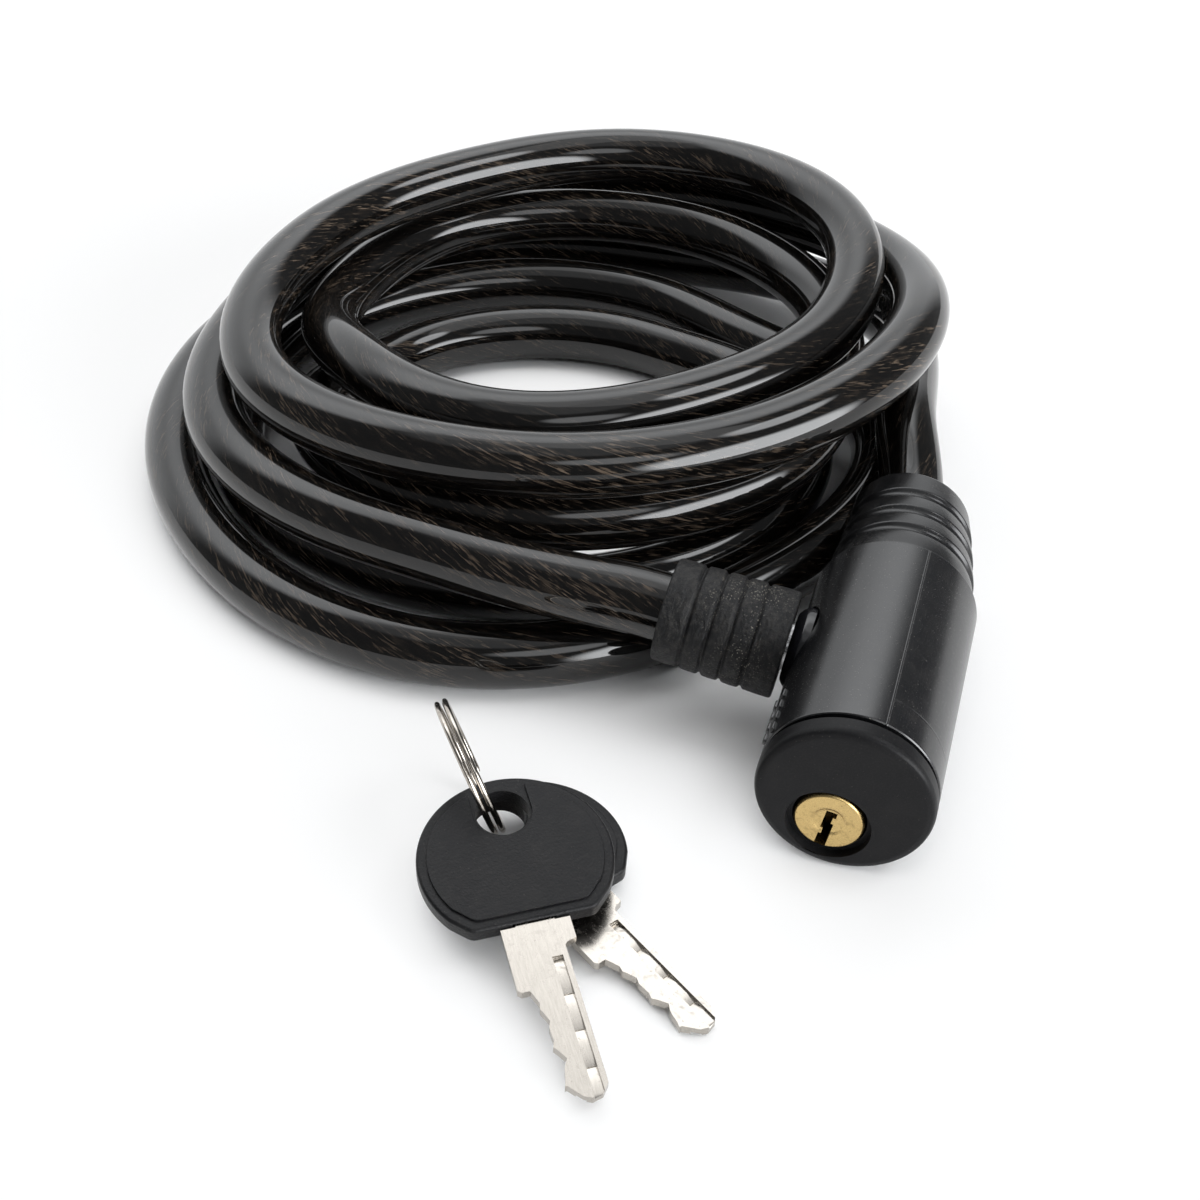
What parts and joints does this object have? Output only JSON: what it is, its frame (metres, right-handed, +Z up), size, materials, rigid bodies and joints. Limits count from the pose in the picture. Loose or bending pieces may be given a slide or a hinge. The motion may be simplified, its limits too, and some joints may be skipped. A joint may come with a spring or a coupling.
{
  "type": "key cable lock",
  "caption": "Coiled cable lock: a round key lock head with rubber boots, a plug-in bolt end, a long clear-skinned cable and two keys on a split ring.",
  "frame": {"origin": "on the table under the middle of the head, bolt end and keys, the cable left out", "axes": "+Z up from the table, +Y along the head from its key face to its rear boot, -X towards the bolt end"},
  "size_m": [0.1792, 0.2464, 0.0393],
  "materials": {
    "sleeve": "satin black, fine grain",
    "cap": "matte charcoal",
    "collar": "glossy black",
    "rubber": "dusty black, ribbed",
    "cable": "smoky clear skin over dark strands",
    "zinc": "die-cast grey",
    "steel": "drawn",
    "nickel": "nickel plated",
    "brass": "pale, turned",
    "bow": "fine-grained black"
  },
  "bodies": {
    "head": {"head_sleeve": "sleeve", "end_cap": "cap", "lock_core": "zinc", "socket_collar": "collar", "head_ferrule": "zinc", "cross_pin": "steel", "rear_boot": "rubber", "latch_spring": "steel", "eject_spring": "steel", "lead_head": "cable", "cable_coil": "cable", "lead_bolt": "cable"},
    "plug": {"plug": "brass", "wafer_1": "brass", "wafer_2": "brass", "wafer_3": "brass", "wafer_4": "brass", "wafer_5": "brass", "plug_clip": "steel", "plug_cam": "steel"},
    "latch": {"latch": "steel"},
    "ejector": {"eject_plunger": "steel"},
    "bolt_end": {"bolt_pin": "steel", "bolt_ferrule": "zinc", "bolt_boot": "rubber"},
    "key_set": {"split_ring": "nickel"},
    "key_1": {"key_1_bow": "bow", "key_1_blade": "nickel"},
    "key_2": {"key_2_bow": "bow", "key_2_blade": "nickel"}
  },
  "joints": [
    {"name": "plug_turn", "type": "hinge", "parent": "head", "child": "plug", "pos_m": [0.02418, -0.0106, 0.00874], "axis": [0, 1, 0], "range_deg": [0, 90]},
    {"name": "latch_slide", "type": "slide", "parent": "head", "child": "latch", "axis": [0.1564, 0, 0.9877], "range_m": [0, 0.0015], "deforming": ["latch_spring"]},
    {"name": "bolt_slide", "type": "slide", "parent": "head", "child": "bolt_end", "axis": [-0.9877, 0, 0.1564], "range_m": [0, 0.02], "deforming": ["lead_bolt"]},
    {"name": "eject_slide", "type": "slide", "parent": "head", "child": "ejector", "axis": [0.9877, 0, -0.1564], "range_m": [0, 0.001], "stiffness_N_per_m": 300, "springref_m": -0.004, "deforming": ["eject_spring"]},
    {"name": "keys_lift", "type": "slide", "parent": "head", "child": "key_set", "axis": [0, 0, 1], "range_m": [0, 0.04]},
    {"name": "key_1_swing", "type": "hinge", "parent": "key_set", "child": "key_1", "pos_m": [-0.02438, -0.02448, 0.01005], "axis": [0.0799, -0.1264, 0.9888], "range_deg": [-25, 0]},
    {"name": "key_2_swing", "type": "hinge", "parent": "key_set", "child": "key_2", "pos_m": [-0.02642, -0.02062, 0.00437], "axis": [0.0559, -0.0388, 0.9977], "range_deg": [0, 20]}
  ],
  "couplings": [
    {"joint": "plug_turn", "follows": "latch_slide", "rad_per_m": 1047.2}
  ]
}
